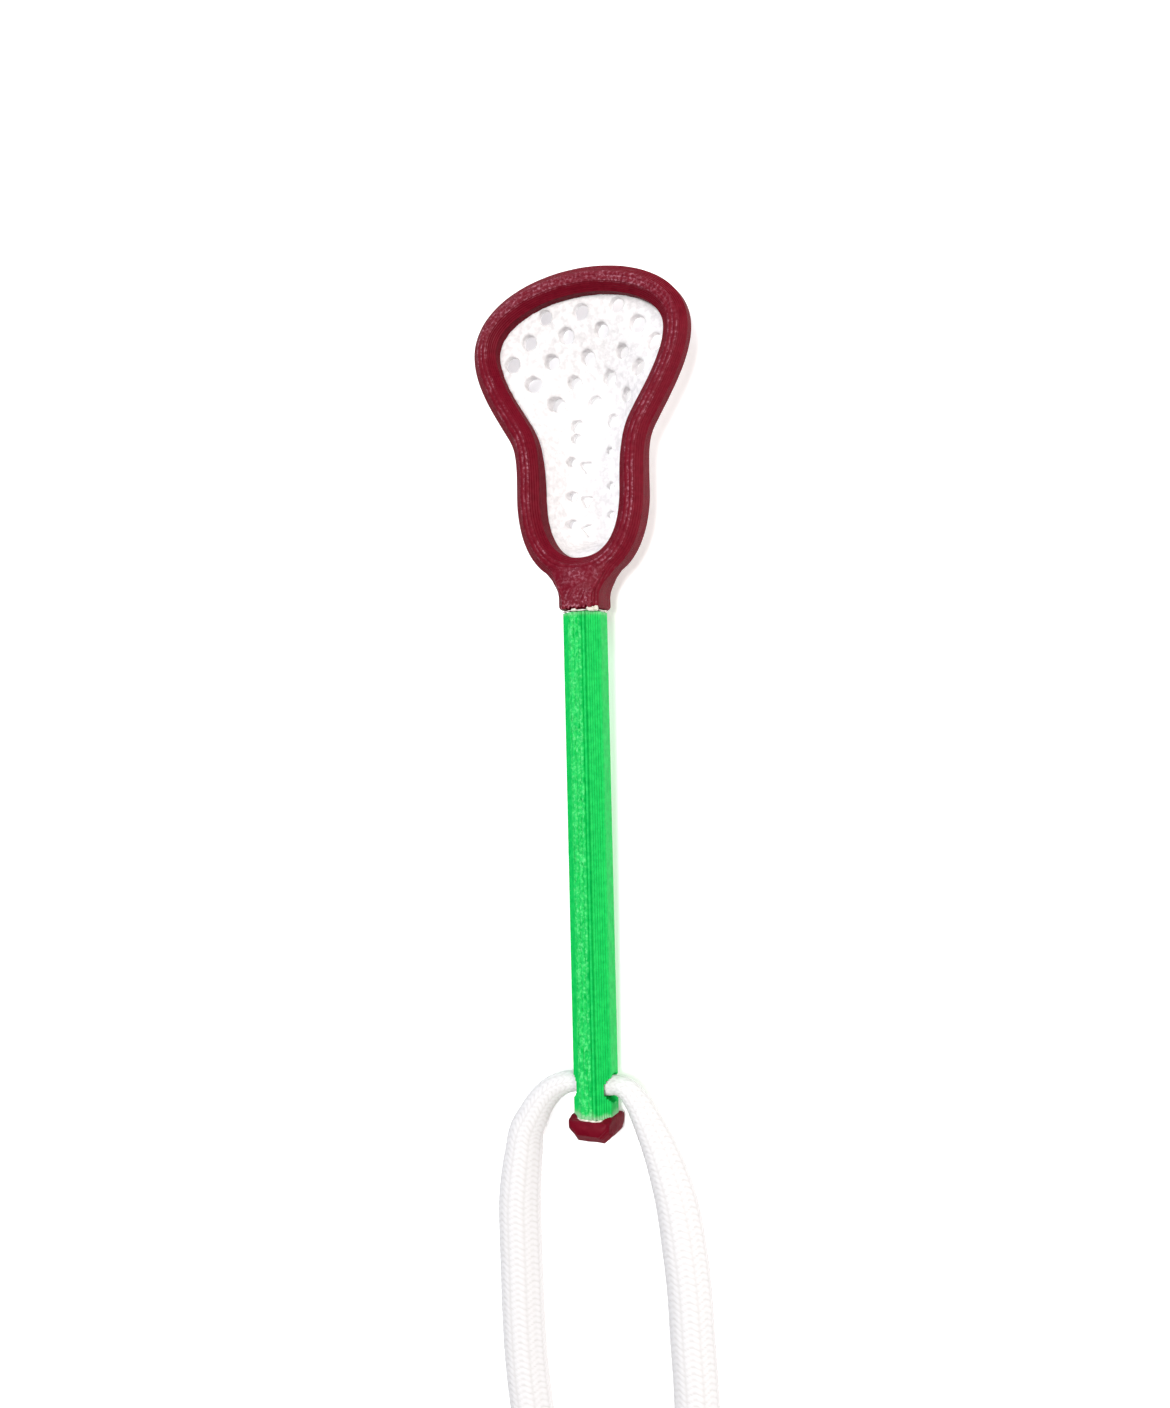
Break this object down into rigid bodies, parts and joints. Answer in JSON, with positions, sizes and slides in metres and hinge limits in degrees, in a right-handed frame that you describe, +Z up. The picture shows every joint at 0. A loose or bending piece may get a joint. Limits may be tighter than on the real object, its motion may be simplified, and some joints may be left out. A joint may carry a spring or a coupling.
{
  "type": "miniature lacrosse stick",
  "caption": "Miniature printed lacrosse stick charm: open head with a mesh pocket, octagonal shaft, butt cap, and a braided hanging cord threaded through the shaft.",
  "frame": {"origin": "middle of the underside of the stick's bounding box, on the surface that it lies on, the cord left out", "axes": "+Y along the stick towards the head, +Z up out of the open side of the head, X across; the pocket raises the head by 2.25 degrees"},
  "size_m": [0.0273, 0.2089, 0.0102],
  "materials": {
    "maroon_plastic": "printed in layers, dull sheen",
    "white_plastic": "printed in layers, dull",
    "green_plastic": "printed in layers, dull sheen",
    "glue": "dried clear glue with a whitish bloom",
    "cord": "soft round braid"
  },
  "bodies": {
    "root": {"head_frame": "maroon_plastic", "mesh_pocket": "white_plastic", "shaft": "green_plastic", "butt_cap": "maroon_plastic", "throat_glue": "glue", "cap_glue": "glue", "cord_bight": "cord", "cord_right_leg": "cord", "cord_left_leg": "cord", "cord_knot": "cord"}
  },
  "joints": []
}
